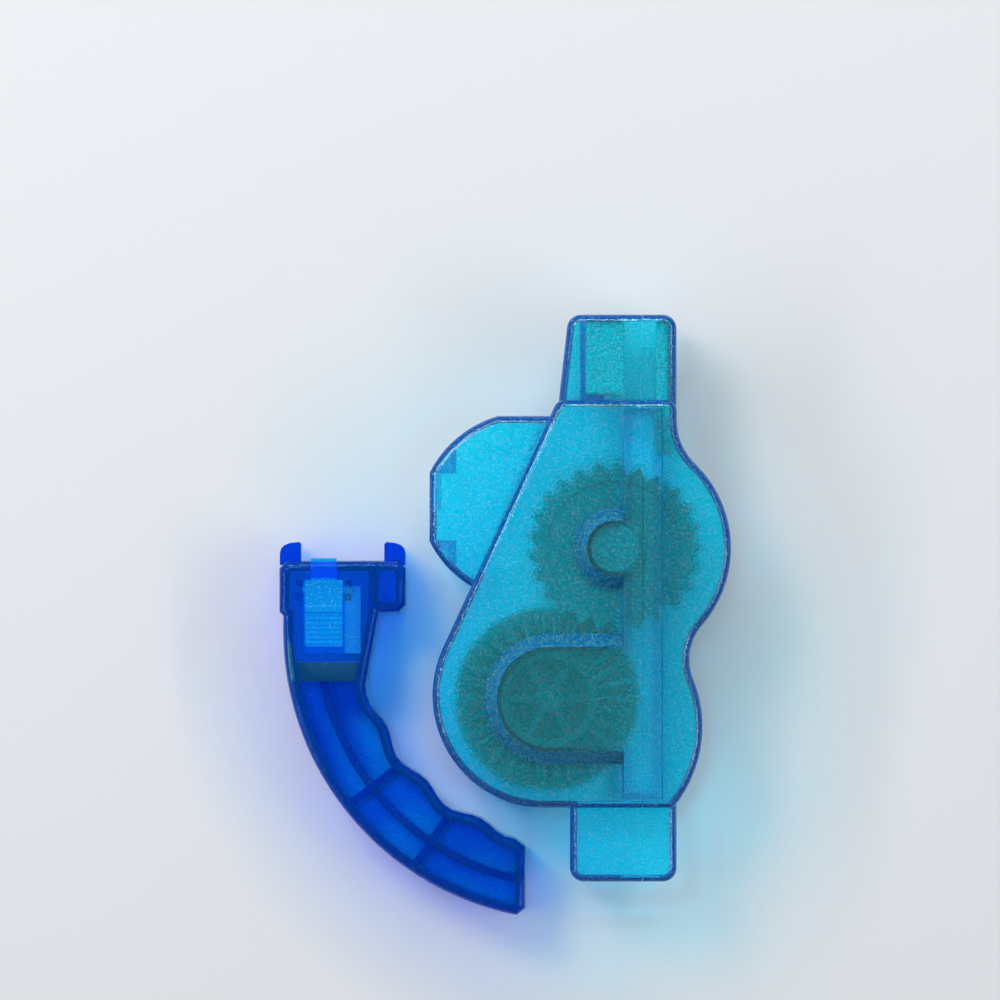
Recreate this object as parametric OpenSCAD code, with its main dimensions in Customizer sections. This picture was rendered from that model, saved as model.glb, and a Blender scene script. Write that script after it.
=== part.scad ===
// Clip-on bicycle chain cleaner: a clear housing in two halves round two brush wheels, and a
// curved handle that lies beside it. It lies on its side, with the chain's path along Y.
// In the housing's own frame, u runs across the parting plane (lid positive, tank negative),
// v runs along the chain and w runs across the chain's width from the middle plane.

/* [Housing] */
// Thickness of the main body between its two side faces
body_thick = 31; // [29:0.5:36]
// Height of the rim and the wheel pockets above each side face
rim_rise = 3; // [2.4:0.1:4]
// Wall of the housing
wall = 1.8; // [1.4:0.1:2.2]
// Rounding of the housing's long edges
edge_r = 2; // [1:0.1:2.3]
// Radius of the two corners where the body's top meets its sides
corner_r = 2.6; // [2.4:0.1:4]
// Depth of the lid at the necks, from the parting plane
lid_depth = 8; // [7.4:0.1:9.5]
// Distance from the side brush axis up to the body's top
top_from_axis = 34.3; // [33:0.5:38]
// Where the tank's top corner sits, from the parting plane
top_corner_u = 18; // [16:0.5:20]
// Room between the side brush teeth and the lid's wall
side_room = 5.6; // [4:0.1:7]
// Room between the drum's bristle tips and the tank's belly
belly_room = 3; // [2.2:0.1:5]
// Radius of the hollow between the neck and the lid's first bulge
shoulder_r = 14; // [11:0.5:17]
// Radius of the waist between the lid's two bulges
waist_r = 12; // [9:0.5:15]
// Radius of the lid's second bulge
bulge_r = 29.4; // [28.5:0.1:30.5]
// Width of each half of the rim along the parting plane
rim_w = 4.3; // [3.4:0.1:5.4]

/* [Necks] */
// Thickness of both necks
neck_thick = 24; // [22:0.5:26]
// Length of the top neck
top_neck_len = 19.8; // [17:0.2:24]
// Depth of the top neck on the tank's side, at its root
top_neck_depth = 19.3; // [18:0.1:19.8]
// Lean of the top neck's outer side, in degrees
top_neck_lean = 6.5; // [0:0.5:9]
// Length of the bottom neck
bottom_neck_len = 17.2; // [14:0.2:21]
// Depth of the bottom neck on the tank's side
bottom_neck_depth = 16.7; // [15:0.1:18.5]
// Corner radius of the necks
neck_corner_r = 3.2; // [2.4:0.1:4]
// Width and height of the chain mouths
mouth = 9; // [7.6:0.1:10]

/* [Lobe] */
// Thickness of the reservoir lobe
lobe_thick = 26; // [24:0.5:28]
// Reach of the lobe's flat end from the parting plane
lobe_reach = 49.3; // [47:0.1:52]
// Radius of the lobe's two round shoulders
lobe_r = 25.5; // [25:0.1:28]
// Height of the lobe's middle above the side brush axis
lobe_v = 9.5; // [8:0.1:11]
// Distance between the centres of the lobe's two shoulder arcs
lobe_spread = 6.9; // [5.5:0.1:8.5]
// Height of the lobe's top edge above its middle
lobe_top = 21.1; // [19:0.1:22]

/* [Side brush wheel] */
// Height of the side brush axis in the layout
side_v = 12.9; // [8:0.1:18]
// Radius at the tips of the disc's teeth
side_tip_r = 19.7; // [18:0.1:20.5]
// Depth of the disc's teeth
tooth_depth = 2.9; // [2:0.1:3.4]
// Number of teeth on each disc
teeth = 25; // [18:1:32]
// Thickness of each disc
disc_t = 1.8; // [1.4:0.1:2]
// Radius of the hub journal of each disc
side_journal_r = 5.5; // [4.8:0.1:6]
// Depth of the journal's top below the parting plane
journal_cover = 1; // [0.6:0.1:2]
// Radius of the spindle between the discs
spindle_r = 2.3; // [1.8:0.1:2.6]
// Width left free for the chain between the facing bristles
chain_gap = 7; // [6.4:0.1:8]
// Outer radius of the ring of side bristles
side_ring_r = 15.6; // [13.5:0.1:16]
// Inner radius of the ring of side bristles
side_ring_in = 8.2; // [7:0.1:9]
// Bristles round each ring
side_count = 22; // [16:1:26]
// Rings of bristles on each disc
side_rows = 3; // [2:1:4]

/* [Drum brush wheel] */
// Radius at the tips of the radial bristles
drum_tip_r = 21.3; // [20:0.1:22]
// Gap between the drum's bristle tips and the side bristles
brush_gap = 1.1; // [0.6:0.1:2.4]
// Depth of the drum's bristle tips below the parting plane
tip_cover = 0.3; // [0.1:0.1:1]
// Radius of the drum's wide journals
drum_journal_r = 11.2; // [10.4:0.1:12]
// Radius of the tube that carries the bristles
core_r = 9.4; // [8:0.1:9.8]
// Width of the bristle sleeve
sleeve_w = 20; // [16:0.5:20.6]
// Bristles round the drum
drum_count = 26; // [18:1:30]
// Rows of bristles across the drum
drum_rows = 8; // [6:1:9]
// Width of one bristle
strand_w = 0.9; // [0.6:0.1:1.1]

/* [Sponges] */
// Width of the lower sponge, from the chain down into the tank
sponge_depth = 8.9; // [7:0.1:10]
// Length of the upper sponge below the neck's end
strip_len = 31; // [24:0.5:34]
// Room for the chain between the two sponges
sponge_gap = 7.4; // [6.6:0.1:7.6]

/* [Handle] */
// Radius of the grip's outer curve
grip_out_r = 67.5; // [65:0.5:70]
// Radius of the grip's inner curve
grip_in_r = 48.6; // [47:0.2:50.5]
// Depth of the finger waves in the inner curve
wave = 1.8; // [0:0.1:2.4]
// Depth of the handle from its closed back to its open front
grip_thick = 20; // [18:0.5:23]
// Wall of the handle
grip_wall = 2.4; // [1.8:0.1:2.8]
// Thickness of the handle's back and of its front plate
plate_t = 1.7; // [1.4:0.1:2]
// Thickness of the ribs in the handle's channel
rib_t = 1.8; // [1.2:0.1:2.4]
// Width of the head block across the two jaws
head_w = 29.4; // [28:0.2:32]
// Height of the head block
head_h = 11.9; // [10.5:0.1:14]
// Height of the jaws above the head block
jaw_h = 4.4; // [4.2:0.1:6]
// Thickness of each jaw
jaw_t = 5; // [4.4:0.1:5.4]
// Clearance between the lying handle and the tank's belly
lay_gap = 6.4; // [4:0.2:12]

/* [Latch] */
// Width of the ridged pad
pad_w = 8.8; // [7.6:0.1:9.4]
// Length of the ridged pad
pad_len = 9.6; // [8.4:0.1:10.4]
// Number of ridges on the pad
ridges = 7; // [4:1:9]
// Distance from the pivot to the top of the pad
pivot_rise = 3.4; // [2.8:0.1:4.2]
// Radius of the latch's pivot stubs
pivot_r = 0.9; // [0.7:0.05:1.1]

/* [Hidden] */
$fn = 96;

// Small sizes that several pieces share
over = 1;
run_gap = 0.06;
seat_gap = 0.05;
end_gap = 0.25;
same_point = 0.02;
arc_step = 5;
round_steps = 3;

// Heights and depths that follow from the driving sizes
side_half = body_thick / 2;
rim_half = side_half + rim_rise;
neck_half = neck_thick / 2;
lobe_half = lobe_thick / 2;
mid_z = rim_half;
inner_half = side_half - wall;
pocket_half = rim_half - wall;

// The two brush axes: each sits just low enough that its wheel stays below the parting plane
side_c = [-side_journal_r - journal_cover, side_v];
drum_u = -drum_tip_r - tip_cover;
axis_gap = drum_tip_r + side_ring_r + brush_gap;
drum_c = [drum_u, side_v - sqrt(axis_gap * axis_gap - pow(side_c[0] - drum_u, 2))];

// Circles of the housing's outline
bulge_one_r = side_tip_r + side_room + wall;
belly_r = drum_tip_r + belly_room + wall;
belly_shift_share = [-0.034, 0.031];
belly_c = drum_c + belly_r * belly_shift_share;
body_top = side_v + top_from_axis;
body_bottom = belly_c[1] - belly_r;
bulge_two_shift_share = [0.21, -0.22];
bulge_two_c = drum_c + bulge_r * bulge_two_shift_share;
lobe_mid = side_v + lobe_v;

function unit(p) = p / norm(p);
function outward(p, q) = let(d = unit(q - p)) [d[1], -d[0]];
function distinct(pts) = [
    for (i = [0:len(pts) - 1]) if (norm(pts[(i + 1) % len(pts)] - pts[i]) > same_point) pts[i]
];
// Points along an arc from one angle to another
function arc_pts(c, r, from, to) =
    let(n = max(1, ceil(abs(to - from) / arc_step)))
    [for (i = [0:n]) c + r * [cos(from + (to - from) * i / n), sin(from + (to - from) * i / n)]];
// A closed outline drawn in by d: each corner moves along its mitre
function drawn_in(pts, d) = let(n = len(pts)) [
    for (i = [0:n - 1])
        let(a = outward(pts[(i + n - 1) % n], pts[i]), b = outward(pts[i], pts[(i + 1) % n]), m = a + b)
        pts[i] - 2 * d * m / (m * m)
];
function angle_of(p) = atan2(p[1], p[0]);
// Centre of a circle of radius r that touches two circles from outside, on their right
function touching(c1, r1, c2, r2, r) =
    let(d = norm(c2 - c1), x = (pow(r1 + r, 2) - pow(r2 + r, 2) + d * d) / (2 * d),
        y = sqrt(pow(r1 + r, 2) - x * x), e = unit(c2 - c1))
    c1 + x * e + y * [-e[1], e[0]];

// Twice the area of a triangle, positive when its corners run counter-clockwise
function turn(a, b, c) = (b[0] - a[0]) * (c[1] - a[1]) - (b[1] - a[1]) * (c[0] - a[0]);
function holds(a, b, c, p) = min(turn(a, b, p), turn(b, c, p), turn(c, a, p)) >= 0;
// The place in a loop of a corner whose own triangle holds no other point of the loop
function ear_at(pts, loop, k) =
    let(n = len(loop), a = loop[(k + n - 1) % n], b = loop[k % n], c = loop[(k + 1) % n],
        near = [for (i = loop) if (i != a && i != b && i != c && holds(pts[a], pts[b], pts[c], pts[i])) i])
    k >= n || (turn(pts[a], pts[b], pts[c]) > 0 && len(near) == 0) ? k % n : ear_at(pts, loop, k + 1);
// The triangles that fill a loop of points, cut off one corner at a time
function filled(pts, loop) =
    let(n = len(loop), k = ear_at(pts, loop, 0))
    n == 3 ? [loop] : concat([[loop[(k + n - 1) % n], loop[k], loop[(k + 1) % n]]],
        filled(pts, [for (j = [0:n - 1]) if (j != k) loop[j]]));

// A plate with this outline and rounded long edges, centred on w = 0
module pillow(outline, half, r) {
    n = len(outline);
    steps = [for (i = [0:round_steps]) 90 * i / round_steps];
    down = [for (i = [round_steps:-1:0]) [r * (1 - cos(steps[i])), -half + r * (1 - sin(steps[i]))]];
    up = [for (i = [0:round_steps]) [r * (1 - cos(steps[i])), half - r * (1 - sin(steps[i]))]];
    levels = concat(down, up);
    points = [for (l = levels) for (p = drawn_in(outline, l[0])) [p[0], p[1], l[1]]];
    last = len(levels) - 1;
    sides = [
        for (k = [0:last - 1]) for (i = [0:n - 1])
            let(j = (i + 1) % n) [k * n + i, (k + 1) * n + i, (k + 1) * n + j, k * n + j]
    ];
    caps = [
        for (t = filled(drawn_in(outline, r), [for (i = [0:n - 1]) i]))
            for (f = [t, [t[2] + last * n, t[1] + last * n, t[0] + last * n]]) f
    ];
    polyhedron(points, concat(sides, caps), convexity = 6);
}

// A straight plate with this outline, from w = -half to half
module slab(outline, half) {
    translate([0, 0, -half]) linear_extrude(2 * half) polygon(outline);
}

module both_sides() {
    children();
    mirror([0, 0, 1]) children();
}

// Outline of the main body, lid and tank in one loop, counter-clockwise
shoulder_c = let(x = lid_depth + shoulder_r)
    [x, side_c[1] + sqrt(pow(bulge_one_r + shoulder_r, 2) - pow(x - side_c[0], 2))];
waist_c = touching(side_c, bulge_one_r, bulge_two_c, bulge_r, waist_r);
tank_corner = [-top_corner_u, body_top - corner_r];
lid_corner = [lid_depth - corner_r, body_top - corner_r];
slope_normal = angle_of(tank_corner - belly_c)
    + acos((belly_r - corner_r) / norm(tank_corner - belly_c));
bulge_two_start = asin((body_bottom - bulge_two_c[1]) / bulge_r);
body_outline = distinct(concat(
    arc_pts(bulge_two_c, bulge_r, bulge_two_start, angle_of(waist_c - bulge_two_c)),
    arc_pts(waist_c, waist_r, angle_of(bulge_two_c - waist_c) + 360, angle_of(side_c - waist_c)),
    arc_pts(side_c, bulge_one_r, angle_of(waist_c - side_c), angle_of(shoulder_c - side_c)),
    arc_pts(shoulder_c, shoulder_r, angle_of(side_c - shoulder_c) + 360, 180),
    arc_pts(lid_corner, corner_r, 0, 90),
    arc_pts(tank_corner, corner_r, 90, slope_normal),
    arc_pts(belly_c, belly_r, slope_normal, 270)
));

// Outlines of the two necks, each rooted inside the body
top_neck_end = body_top + top_neck_len;
top_neck_in = top_neck_depth - (top_neck_len - neck_corner_r) * tan(top_neck_lean);
top_neck_outline = distinct(concat(
    [[lid_depth, body_top - corner_r - wall]],
    arc_pts([lid_depth - neck_corner_r, top_neck_end - neck_corner_r], neck_corner_r, 0, 90),
    arc_pts([neck_corner_r - top_neck_in, top_neck_end - neck_corner_r], neck_corner_r, 90,
        180 - top_neck_lean),
    [[-top_neck_depth, body_top], [-top_neck_depth, body_top - corner_r - wall]]
));
bottom_neck_end = body_bottom - bottom_neck_len;
bottom_neck_outline = distinct(concat(
    [[-bottom_neck_depth, body_bottom + 2 * wall]],
    arc_pts([neck_corner_r - bottom_neck_depth, bottom_neck_end + neck_corner_r], neck_corner_r,
        180, 270),
    arc_pts([lid_depth - neck_corner_r, bottom_neck_end + neck_corner_r], neck_corner_r, 270, 360),
    [[lid_depth, body_bottom + 2 * wall]]
));

// Outline of the reservoir lobe, rooted inside the body
lobe_bite = 2.7;
lobe_foot_angle = 241;
lobe_arc_u = lobe_r - lobe_reach - lobe_bite;
lobe_high_c = [lobe_arc_u, lobe_mid - lobe_spread / 2];
lobe_low_c = [lobe_arc_u, lobe_mid + lobe_spread / 2];
lobe_end_angle = acos((lobe_reach + lobe_arc_u) / lobe_r);
lobe_top_angle = asin((lobe_top + lobe_spread / 2) / lobe_r);
lobe_outline = distinct(concat(
    arc_pts(lobe_high_c, lobe_r, 180 - lobe_top_angle, 180 - lobe_end_angle),
    arc_pts(lobe_low_c, lobe_r, 180 + lobe_end_angle, lobe_foot_angle),
    [[drum_c[0], side_v], [-top_corner_u, lobe_mid], [-top_corner_u, lobe_mid + lobe_top]]
));

// The chain's path: above the spindle, between the sponges, through a mouth at each end
passage_low = side_c[0] + spindle_r + 2 * run_gap;
passage_high = passage_low + sponge_gap;
passage_mid = (passage_low + passage_high) / 2;

// Places across the width of the brush wheels
disc_room = 0.9;
slice_t = 0.6;
disc_out = inner_half - disc_room;
disc_in = disc_out - disc_t;
journal_end = pocket_half - end_gap;
core_rim = 0.2;
core_half = sleeve_w / 2 + core_rim;
core_wall = 1.8;
sleeve_t = 0.9;

// Everything on one side of the parting plane, which leaves a fine line between the halves
parting_gap = 0.15;
reach = 3 * grip_out_r;
module beyond(u, side) {
    intersection() {
        children();
        translate([side > 0 ? u : u - reach, -reach / 2, -reach / 2]) cube(reach);
    }
}

// One half of the raised rim, with a drafted outer side
rim_draft = 0.5;
module rim_bar() {
    low = side_half - wall / 2;
    foot = rim_w + rim_draft;
    translate([0, body_top - edge_r, 0])
        rotate([90, 0, 0])
            linear_extrude(body_top - body_bottom - 2 * edge_r)
                polygon([[0, low], [foot, low], [foot, side_half], [rim_w, rim_half], [0, rim_half]]);
}

// A wheel pocket: a round boss with sloping sides, run out to the rim
module pocket(c, r) {
    base = r + rim_rise;
    low = side_half - wall / 2;
    translate([c[0], c[1], side_half]) cylinder(h = rim_rise, r1 = base, r2 = r);
    translate([c[0], c[1], low]) cylinder(h = wall / 2, r = base);
    translate([c[0], c[1], 0])
        rotate([90, 0, 90])
            linear_extrude(-c[0])
                polygon([[-base, low], [base, low], [base, side_half], [r, rim_half], [-r, rim_half],
                    [-base, side_half]]);
}

// The slot that a hub journal drops into, open at the parting plane
module journal_slot(c, r) {
    low = inner_half - wall;
    translate([c[0], c[1], low]) cylinder(h = pocket_half - low, r = r + run_gap);
    translate([c[0], c[1] - r - run_gap, low]) cube([over - c[0], 2 * (r + run_gap), pocket_half - low]);
}

// The chain mouths, cut through both necks' end walls
module chain_mouths() {
    for (v = [top_neck_end, bottom_neck_end])
        translate([passage_mid - mouth / 2, v - wall - over, -mouth / 2])
            cube([mouth, 2 * wall + 2 * over, mouth]);
}

// The hollow of the rim, which keeps the wall even under it
module rim_hollow() {
    half = rim_w - wall;
    foot = edge_r + wall;
    translate([-half, body_bottom + foot, -pocket_half])
        cube([2 * half, body_top - body_bottom - 2 * foot, 2 * pocket_half]);
}

// The inside of the housing
module inner_space() {
    rim_hollow();
    slab(drawn_in(body_outline, wall), inner_half);
    slab(drawn_in(top_neck_outline, wall), neck_half - wall);
    slab(drawn_in(bottom_neck_outline, wall), neck_half - wall);
}

// The outside of the body and both necks
module outer_form() {
    pillow(body_outline, side_half, edge_r);
    pillow(top_neck_outline, neck_half, edge_r);
    pillow(bottom_neck_outline, neck_half, edge_r);
}

// Locating lugs of the lid, which enter notches in the tank's neck walls
lug_w = 2.4;
lug_len = 2;
lug_place_share = [0.56, 0.5];
lug_places = [body_top + top_neck_len * lug_place_share[0],
    body_bottom - bottom_neck_len * lug_place_share[1]];
module lugs(play) {
    for (v = lug_places)
        both_sides()
            translate([-lug_len - play, v - lug_w / 2 - play, neck_half - wall - play])
                cube([2 * lug_len + play, lug_w + 2 * play, play > 0 ? wall + over : wall - seat_gap]);
}

// The seats for the handle's jaws: a rebate at each corner of the lobe's end, with a wall behind
jaw_inset = 3;
jaw_half = grip_thick / 2 - jaw_inset;
jaw_gap = head_w - 2 * jaw_t;
seat_play = 0.25;
seat_deep = jaw_h + seat_play;
module seat_shape(grow) {
    near = jaw_gap / 2 - seat_play - grow;
    for (side = [-1, 1])
        translate([-lobe_reach - over, lobe_mid + (side > 0 ? near : -near - jaw_gap), 0])
            square([seat_deep + over + grow, jaw_gap]);
}

module seat_walls() {
    half = jaw_half + seat_play + wall;
    translate([0, 0, -half]) linear_extrude(2 * half) intersection() {
        polygon(drawn_in(lobe_outline, same_point));
        seat_shape(wall);
    }
}

module seat_rebates() {
    half = jaw_half + seat_play;
    translate([0, 0, -half]) linear_extrude(2 * half) seat_shape(0);
}

// The catch slot for the latch's nose, in the lobe's flat end
latch_shift = 4;
nose_w = 6;
nose_t = 2;
nose_rise = 0.6;
nose_low = 6;
catch_deep = nose_rise + 2 * seat_play;
module catch_block(grow, rise) {
    translate([-lobe_reach + (grow > 0 ? same_point : -over), lobe_mid + latch_shift - nose_w / 2
        - seat_play - grow, nose_low - seat_play - grow])
        cube([catch_deep + grow + (grow > 0 ? 0 : over), nose_w + 2 * seat_play + 2 * grow,
            nose_t + rise + seat_play + 2 * grow]);
}

// The shelf that holds the lower sponge up to the chain, with a stop at its lower end
shelf_t = 1.2;
sponge_top = passage_low - seat_gap;
sponge_low = sponge_top - sponge_depth;
module sponge_shelf() {
    half = neck_half - wall / 2;
    top = top_neck_end - wall / 2;
    translate([sponge_low - seat_gap - shelf_t, body_top, -half]) cube([shelf_t, top - body_top, 2 * half]);
    translate([sponge_low - seat_gap - shelf_t, body_top, -half])
        cube([shelf_t + sponge_depth / 2, shelf_t, 2 * half]);
}

module tank() {
    color([0.1, 0.68, 0.86, 0.55]) beyond(0, -1) {
        difference() {
            union() {
                outer_form();
                pillow(lobe_outline, lobe_half, edge_r);
                both_sides() {
                    mirror([1, 0, 0]) rim_bar();
                    pocket(side_c, side_journal_r + wall / 2);
                    pocket(drum_c, drum_journal_r + wall / 2);
                }
            }
            difference() {
                union() {
                    inner_space();
                    slab(drawn_in(lobe_outline, wall), lobe_half - wall);
                }
                seat_walls();
                catch_block(wall, 2 * seat_play);
                sponge_shelf();
            }
            both_sides() {
                journal_slot(side_c, side_journal_r);
                journal_slot(drum_c, drum_journal_r);
            }
            seat_rebates();
            catch_block(0, 2 * seat_play);
            chain_mouths();
            lugs(seat_gap * 2);
        }
    }
}

module lid() {
    color([0.12, 0.66, 0.85, 0.55]) union() {
        beyond(parting_gap, 1) difference() {
            union() {
                outer_form();
                both_sides() rim_bar();
            }
            inner_space();
            chain_mouths();
        }
        lugs(0);
    }
}

module lower_sponge() {
    half = neck_half - wall - seat_gap;
    low = body_top + shelf_t + seat_gap;
    color("dimgray") translate([sponge_low, low, -half])
        cube([sponge_depth, top_neck_end - wall - seat_gap - low, 2 * half]);
}

// The upper sponge fills the lid's neck, round its corner too
module upper_sponge() {
    top = top_neck_end - wall - seat_gap;
    right = lid_depth - wall - seat_gap;
    color("dimgray") slab(concat(
        [[passage_high, top - strip_len], [right, top - strip_len]],
        arc_pts([lid_depth, top_neck_end] - neck_corner_r * [1, 1], neck_corner_r - wall - seat_gap, 0, 90),
        [[passage_high, top]]
    ), neck_half - wall - seat_gap);
}

// A ring of bristles as one closed skin over a backing: n round, m rows across. at(a, s, h) gives
// the point at angle a, at s from 0 to 1 across the rows and at height h above the backing.
strand_lean = 1.4;
module brush(n, m, back_t, strand_len, half_angle, half_share, at) {
    step = 360 / n;
    corners = [[-1, -1], [-1, 1], [1, 1], [1, -1]];
    grid = [for (j = [0:m]) for (i = [0:n - 1]) at(i * step, j / m, 0)];
    back = [for (s = [0, 1]) for (i = [0:n - 1]) at(i * step, s, -back_t)];
    strands = [
        for (j = [0:m - 1]) for (i = [0:n - 1]) for (h = [0, strand_len]) for (c = corners)
            let(lean = h > 0 ? strand_lean * ((i + j) % 3 - 1) : 0)
            at((i + 0.5) * step + c[0] * half_angle + lean, (j + 0.5 + c[1] * half_share) / m, h)
    ];
    first = (m + 3) * n;
    quads = [
        for (j = [0:m - 1]) for (i = [0:n - 1])
            let(k = (i + 1) % n, g = [j * n + i, (j + 1) * n + i, (j + 1) * n + k, j * n + k],
                b = first + 8 * (j * n + i))
            for (q = [
                for (e = [0:3]) let(f = (e + 1) % 4) [g[e], g[f], b + f, b + e],
                for (e = [0:3]) let(f = (e + 1) % 4) [b + e, b + f, b + f + 4, b + e + 4],
                [b + 4, b + 5, b + 6, b + 7]
            ]) q
    ];
    rims = [
        for (i = [0:n - 1])
            let(k = (i + 1) % n, low = (m + 1) * n, high = (m + 2) * n)
            for (q = [[i, k, low + k, low + i], [m * n + k, m * n + i, high + i, high + k],
                [low + i, low + k, high + k, high + i]]) q
    ];
    faces = [for (q = concat(quads, rims)) for (t = [[q[0], q[1], q[2]], [q[0], q[2], q[3]]]) t];
    polyhedron(concat(grid, back, strands), faces, convexity = 10);
}

// Side brush wheel: each disc carries its journal, a ring of bristles and the spindle's end
module side_disc() {
    root_r = side_tip_r - tooth_depth;
    socket_half = disc_out + disc_t;
    translate(side_c) difference() {
        union() {
            translate([0, 0, disc_in]) linear_extrude(disc_t) polygon([
                for (i = [0:2 * teeth - 1]) let(r = i % 2 == 0 ? side_tip_r : root_r)
                    r * [cos(180 * i / teeth), sin(180 * i / teeth)]
            ]);
            translate([0, 0, disc_out - seat_gap]) cylinder(h = journal_end - disc_out + seat_gap,
                r = side_journal_r);
            translate([0, 0, disc_out - seat_gap]) cylinder(h = disc_room / 2 + seat_gap,
                r = side_journal_r + wall);
        }
        translate([0, 0, disc_out - disc_t / 3]) difference() {
            cylinder(h = disc_t, r = side_ring_r);
            cylinder(h = 3 * disc_t, r = side_journal_r + wall, center = true);
        }
        translate([0, 0, disc_in - over]) cylinder(h = socket_half - disc_in + over,
            r = spindle_r + seat_gap);
    }
}

module side_disc_front() {
    color("slategray") side_disc();
}

module side_disc_back() {
    color("slategray") mirror([0, 0, 1]) side_disc();
}

module wheel_spindle() {
    half = disc_out + disc_t - seat_gap;
    color("lightslategray") translate([side_c[0], side_c[1], -half]) cylinder(h = 2 * half, r = spindle_r);
}

module side_bristles() {
    base = disc_in - seat_gap - slice_t;
    at = function(a, s, h) let(r = side_ring_in + (side_ring_r - side_ring_in) * s)
        [r * cos(a), r * sin(a), base - h];
    mid_r = (side_ring_in + side_ring_r) / 2;
    translate(side_c) brush(side_count, side_rows, slice_t, base - chain_gap / 2,
        strand_w / 2 / mid_r * 180 / PI, strand_w / 2 / (side_ring_r - side_ring_in) * side_rows, at);
}

module side_bristles_front() {
    color("gray") side_bristles();
}

module side_bristles_back() {
    color("gray") mirror([0, 0, 1]) side_bristles();
}

// Drum brush wheel: a tube with a sleeve of radial bristles, closed by two spoked caps
module drum_core() {
    color("slategray") translate([drum_c[0], drum_c[1], -core_half]) difference() {
        cylinder(h = 2 * core_half, r = core_r);
        translate([0, 0, -over]) cylinder(h = 2 * (core_half + over), r = core_r - core_wall);
    }
}

// The sleeve's flats clear the round tube, so its corners stand a little further out
module drum_bristles() {
    base = (core_r + seat_gap) / cos(180 / drum_count) + sleeve_t;
    at = function(a, s, h) [(base + h) * cos(a), (base + h) * sin(a), (s - 0.5) * sleeve_w];
    color("gray") translate(drum_c) brush(drum_count, drum_rows, sleeve_t, drum_tip_r - base,
        strand_w / 2 / base * 180 / PI, strand_w / 2 / sleeve_w * drum_rows, at);
}

spokes = 6;
spoke_t = 1.6;
cap_floor = 1.6;
module drum_cap() {
    spigot_r = core_r - core_wall - seat_gap;
    spigot_len = 3;
    dish_r = drum_journal_r - wall;
    boss_r = dish_r / 3;
    low = core_half + seat_gap;
    translate([drum_c[0], drum_c[1], low]) {
        difference() {
            cylinder(h = journal_end - low, r = drum_journal_r);
            translate([0, 0, cap_floor]) cylinder(h = journal_end, r = dish_r);
        }
        cylinder(h = journal_end - low, r = boss_r);
        for (i = [0:spokes - 1])
            rotate(360 * i / spokes) translate([boss_r / 2, -spoke_t / 2, 0])
                cube([dish_r - boss_r / 2 + wall / 2, spoke_t, journal_end - low - cap_floor]);
        translate([0, 0, -spigot_len]) difference() {
            cylinder(h = spigot_len + cap_floor / 2, r = spigot_r);
            translate([0, 0, -over]) cylinder(h = spigot_len + over, r = spigot_r - core_wall);
        }
    }
}

module drum_cap_front() {
    color("darkslategray") drum_cap();
}

module drum_cap_back() {
    color("darkslategray") mirror([0, 0, 1]) drum_cap();
}

// The handle lies beside the tank, round its belly, in the housing's frame
lay_angle = 66;
grip_c = belly_c + (grip_in_r - belly_r - lay_gap) * [cos(lay_angle), sin(lay_angle)];
head_step = 0.85;
head_left = grip_c[0] - grip_out_r - head_step;
head_right = head_left + head_w;
head_rise = 4.4;
head_bottom = grip_c[1] + head_rise;
head_top = head_bottom + head_h;
grip_end_inset = 11.1;
grip_end_u = grip_c[0] - grip_end_inset;
grip_span = 78;
wave_pitch = 18.2;
wave_first = 27;
wave_step = 2.6;
function wave_r(a) = grip_in_r + wave * (1 - cos(360 * (a - wave_first) / wave_pitch)) / 2;
function on_grip(r, a) = grip_c - r * [cos(a), sin(a)];
grip_out_end = acos(grip_end_inset / grip_out_r);
tip_turn = 2;
grip_in_end = acos(grip_end_inset / wave_r(grip_span));
wave_angles = [for (a = [grip_in_end:-wave_step:wave_first / 2]) a];
overhang = 6.3;
throat_right = head_right - overhang;
// Corners of the head and of the tip, cut wide enough that the wall's inner side keeps them
corner_share = [0.7, 0.85];
head_corner = grip_wall * corner_share[0];
tip_corner = grip_wall * corner_share[1];
handle_edge = 1.8;
handle_outline = distinct(concat(
    [[head_left + head_corner, head_top], [head_left, head_top - head_corner],
        [head_left, head_bottom], [grip_c[0] - grip_out_r, head_bottom - head_step]],
    [for (a = [0:arc_step / 2:grip_out_end - arc_step / 2]) on_grip(grip_out_r, a)],
    [[grip_end_u - tip_corner, on_grip(grip_out_r, grip_out_end - tip_turn)[1]],
        [grip_end_u, on_grip(grip_out_r, grip_out_end)[1] + tip_corner],
        [grip_end_u, on_grip(wave_r(grip_in_end), grip_in_end)[1] - tip_corner]],
    [for (a = wave_angles) if (a < grip_in_end - wave_step / 2) on_grip(wave_r(a), a)],
    [[throat_right, head_bottom], [head_right - head_corner, head_bottom],
        [head_right, head_bottom + head_corner], [head_right, head_top - head_corner],
        [head_right - head_corner, head_top]]
));
handle_inside = drawn_in(handle_outline, grip_wall);

// The closed front plate over the top of the channel, with its sloping end
plate_run = 11.5;
slope_run = 4.7;
slope_drop = 5;
plate_end = head_bottom - plate_run;
slope_end = plate_end - slope_run;
module plate_slope() {
    intersection() {
        linear_extrude(grip_thick) polygon(drawn_in(handle_outline, grip_wall / 2));
        translate([head_left, 0, 0]) rotate([90, 0, 90]) linear_extrude(head_w) polygon([
            [plate_end, grip_thick - handle_edge / 2], [plate_end, grip_thick - plate_t],
            [slope_end + plate_t, grip_thick - slope_drop - plate_t], [slope_end + plate_t, plate_t / 2],
            [slope_end, plate_t / 2], [slope_end, grip_thick - slope_drop]
        ]);
    }
}

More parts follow.
